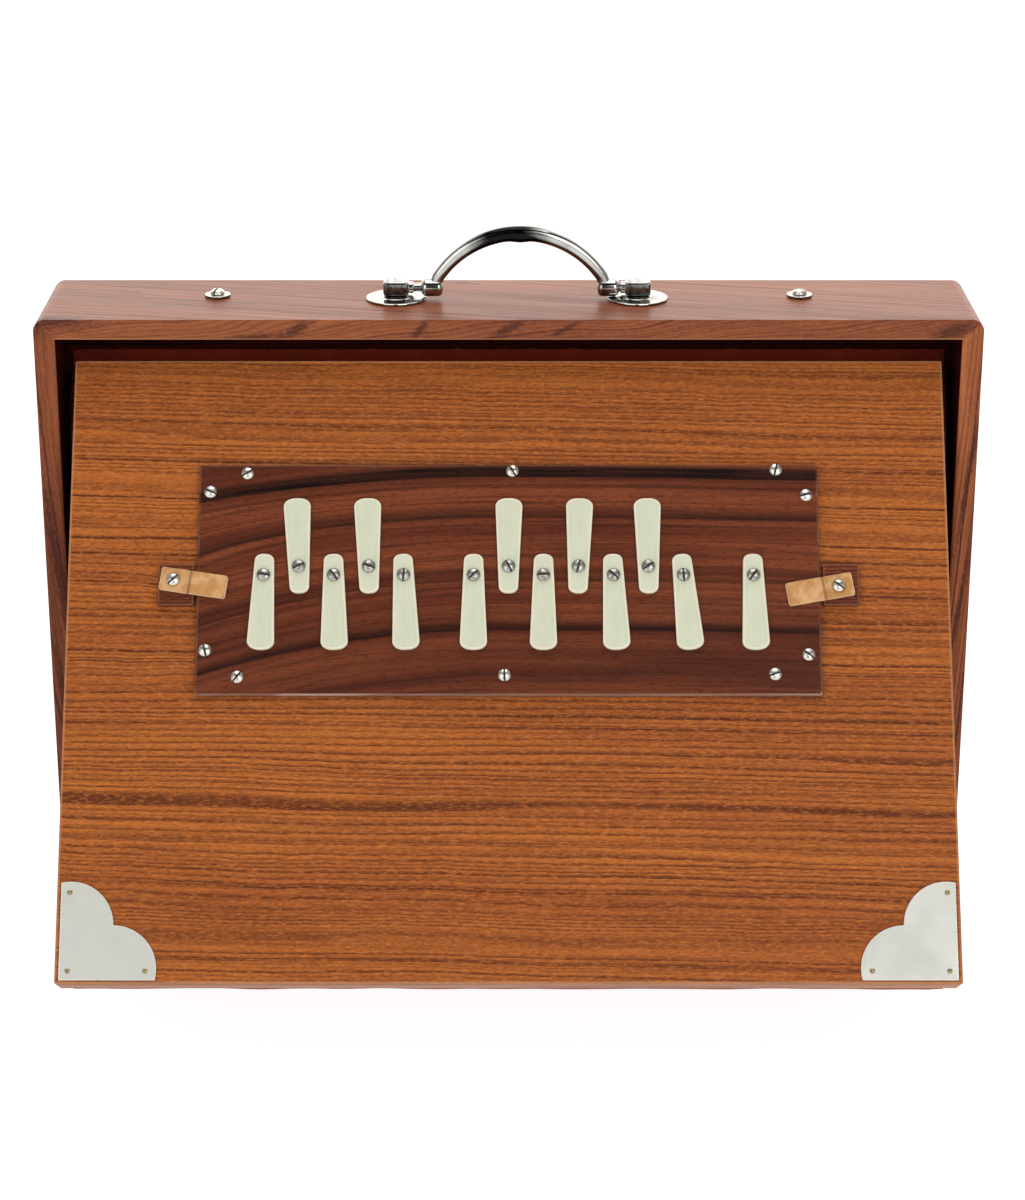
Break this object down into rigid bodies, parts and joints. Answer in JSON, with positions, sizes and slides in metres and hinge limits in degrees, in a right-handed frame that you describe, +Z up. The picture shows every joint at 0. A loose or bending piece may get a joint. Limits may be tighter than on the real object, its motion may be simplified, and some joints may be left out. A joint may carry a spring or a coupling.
{
  "type": "shruti box",
  "caption": "Bellows drone instrument in a teak case with a carrying handle, its sprung front chest swung open and its swivelling ivory tongues, leather tabs and pump board free to move.",
  "frame": {"origin": "middle of the underside of the case", "axes": "+Z up, +X along the case to the right of someone facing the keys, -Y out of the open front"},
  "size_m": [0.4, 0.202, 0.3417],
  "materials": {
    "case_teak": "varnished red-brown teak with a satin sheen",
    "face_teak": "varnished orange-brown teak veneer with fine dark streaks",
    "pale_teak": "plain sanded teak",
    "inner_ply": "unfinished inner wood",
    "rosewood": "dark varnished rosewood with a near-black figure",
    "ivory": "pale ivory-green plastic, lightly polished",
    "nickel": "nickel-plated steel",
    "chrome": "polished chrome plate",
    "aluminium": "satin aluminium sheet",
    "brass": "bright brass",
    "spring_steel": "bare spring steel",
    "leather": "natural tan leather with pale cut edges",
    "valve_leather": "soft chamois-like leather",
    "maroon_cloth": "dark maroon bellows cloth"
  },
  "bodies": {
    "case": {"case_top_board": "case_teak", "case_bottom_board": "case_teak", "case_left_board": "case_teak", "case_right_board": "case_teak", "centre_board": "inner_ply", "case_screw_left": "nickel", "case_screw_right": "nickel", "case_washer_left": "nickel", "case_washer_right": "nickel", "handle_disc_left": "chrome", "handle_disc_right": "chrome", "handle_post_left": "chrome", "handle_post_right": "chrome", "front_hinge_cloth": "maroon_cloth", "rear_hinge_cloth": "maroon_cloth", "front_bellows": "maroon_cloth", "rear_bellows": "maroon_cloth", "opening_spring_left": "spring_steel", "opening_spring_right": "spring_steel", "transfer_batten_left": "inner_ply", "transfer_batten_right": "inner_ply"},
    "chest": {"chest_face": "face_teak", "chest_top_rail": "pale_teak", "chest_bottom_rail": "pale_teak", "chest_left_stile": "pale_teak", "chest_right_stile": "pale_teak", "key_plate": "rosewood", "tab_block_left": "rosewood", "tab_block_right": "rosewood", "leather_tab_root_left": "leather", "leather_tab_root_right": "leather", "corner_plate_left": "aluminium", "corner_plate_right": "aluminium", "reed_block_upper": "inner_ply", "reed_block_lower": "inner_ply", "reed_plate_upper": "brass", "reed_plate_lower": "brass"},
    "pump": {"pump_board": "case_teak", "intake_batten_left": "inner_ply", "intake_batten_right": "inner_ply"},
    "handle": {"handle_bow": "chrome"},
    "tongue_01": {"tongue_01": "ivory"},
    "tongue_02": {"tongue_02": "ivory"},
    "tongue_03": {"tongue_03": "ivory"},
    "tongue_04": {"tongue_04": "ivory"},
    "tongue_05": {"tongue_05": "ivory"},
    "tongue_06": {"tongue_06": "ivory"},
    "tongue_07": {"tongue_07": "ivory"},
    "tongue_08": {"tongue_08": "ivory"},
    "tongue_09": {"tongue_09": "ivory"},
    "tongue_10": {"tongue_10": "ivory"},
    "tongue_11": {"tongue_11": "ivory"},
    "tongue_12": {"tongue_12": "ivory"},
    "tongue_13": {"tongue_13": "ivory"},
    "tab_flap_left": {"leather_tab_flap_left": "leather"},
    "tab_flap_right": {"leather_tab_flap_right": "leather"},
    "transfer_flap_left": {"transfer_flap_left": "valve_leather"},
    "transfer_flap_right": {"transfer_flap_right": "valve_leather"},
    "intake_flap_left": {"intake_flap_left": "valve_leather"},
    "intake_flap_right": {"intake_flap_right": "valve_leather"}
  },
  "joints": [
    {"name": "chest_swing", "type": "hinge", "parent": "case", "child": "chest", "pos_m": [0, -0.003, 0.2758], "axis": [1, 0, 0], "range_deg": [0, 34], "stiffness_Nm_per_rad": 1, "springref_deg": -51.57, "deforming": ["front_bellows", "opening_spring_left", "opening_spring_right"]},
    {"name": "pump_swing", "type": "hinge", "parent": "case", "child": "pump", "pos_m": [0, 0.013, 0.293], "axis": [1, 0, 0], "range_deg": [0, 25], "deforming": ["rear_bellows"]},
    {"name": "handle_fold", "type": "hinge", "parent": "case", "child": "handle", "pos_m": [0.005, 0.001, 0.3142], "axis": [1, 0, 0], "range_deg": [-88, 88]},
    {"name": "tongue_01_swing", "type": "hinge", "parent": "chest", "child": "tongue_01", "pos_m": [-0.0876, -0.07567, 0.2142], "axis": [0, 0.829, -0.5592], "range_deg": [0, 24.4]},
    {"name": "tongue_02_swing", "type": "hinge", "parent": "chest", "child": "tongue_02", "pos_m": [-0.0584, -0.07567, 0.2142], "axis": [0, 0.829, -0.5592], "range_deg": [0, 23.6]},
    {"name": "tongue_03_swing", "type": "hinge", "parent": "chest", "child": "tongue_03", "pos_m": [0, -0.07567, 0.2142], "axis": [0, 0.829, -0.5592], "range_deg": [-0.4, 21.6]},
    {"name": "tongue_04_swing", "type": "hinge", "parent": "chest", "child": "tongue_04", "pos_m": [0.0292, -0.07567, 0.2142], "axis": [0, 0.829, -0.5592], "range_deg": [-1.3, 20.7]},
    {"name": "tongue_05_swing", "type": "hinge", "parent": "chest", "child": "tongue_05", "pos_m": [0.0584, -0.07567, 0.2142], "axis": [0, 0.829, -0.5592], "range_deg": [0, 22.5]},
    {"name": "tongue_06_swing", "type": "hinge", "parent": "chest", "child": "tongue_06", "pos_m": [-0.1022, -0.07774, 0.21114], "axis": [0, -0.829, 0.5592], "range_deg": [0, 23.7]},
    {"name": "tongue_07_swing", "type": "hinge", "parent": "chest", "child": "tongue_07", "pos_m": [-0.073, -0.07774, 0.21114], "axis": [0, -0.829, 0.5592], "range_deg": [-1.2, 20.8]},
    {"name": "tongue_08_swing", "type": "hinge", "parent": "chest", "child": "tongue_08", "pos_m": [-0.0438, -0.07774, 0.21114], "axis": [0, -0.829, 0.5592], "range_deg": [-2.4, 19.6]},
    {"name": "tongue_09_swing", "type": "hinge", "parent": "chest", "child": "tongue_09", "pos_m": [-0.0146, -0.07774, 0.21114], "axis": [0, -0.829, 0.5592], "range_deg": [0, 22]},
    {"name": "tongue_10_swing", "type": "hinge", "parent": "chest", "child": "tongue_10", "pos_m": [0.0146, -0.07774, 0.21114], "axis": [0, -0.829, 0.5592], "range_deg": [0, 22.2]},
    {"name": "tongue_11_swing", "type": "hinge", "parent": "chest", "child": "tongue_11", "pos_m": [0.0438, -0.07774, 0.21114], "axis": [0, -0.829, 0.5592], "range_deg": [-2.3, 19.7]},
    {"name": "tongue_12_swing", "type": "hinge", "parent": "chest", "child": "tongue_12", "pos_m": [0.073, -0.07774, 0.21114], "axis": [0, -0.829, 0.5592], "range_deg": [-5.1, 16.9]},
    {"name": "tongue_13_swing", "type": "hinge", "parent": "chest", "child": "tongue_13", "pos_m": [0.1022, -0.07774, 0.21114], "axis": [0, -0.829, 0.5592], "range_deg": [-1.3, 20.7]},
    {"name": "tab_flap_left_lift", "type": "hinge", "parent": "chest", "child": "tab_flap_left", "pos_m": [-0.1332, -0.08016, 0.20915], "axis": [-0.1461, -0.5532, -0.8201], "range_deg": [0, 70]},
    {"name": "tab_flap_right_lift", "type": "hinge", "parent": "chest", "child": "tab_flap_right", "pos_m": [0.1317, -0.08167, 0.20691], "axis": [-0.1719, 0.5509, 0.8167], "range_deg": [0, 70]},
    {"name": "transfer_flap_left_open", "type": "hinge", "parent": "case", "child": "transfer_flap_left", "pos_m": [-0.07, -0.0018, 0.1258], "axis": [-1, 0, 0], "range_deg": [0, 12]},
    {"name": "transfer_flap_right_open", "type": "hinge", "parent": "case", "child": "transfer_flap_right", "pos_m": [0.07, -0.0018, 0.1258], "axis": [-1, 0, 0], "range_deg": [0, 12]},
    {"name": "intake_flap_left_open", "type": "hinge", "parent": "pump", "child": "intake_flap_left", "pos_m": [-0.07, 0.0142, 0.203], "axis": [-1, 0, 0], "range_deg": [0, 6]},
    {"name": "intake_flap_right_open", "type": "hinge", "parent": "pump", "child": "intake_flap_right", "pos_m": [0.07, 0.0142, 0.203], "axis": [-1, 0, 0], "range_deg": [0, 6]}
  ]
}
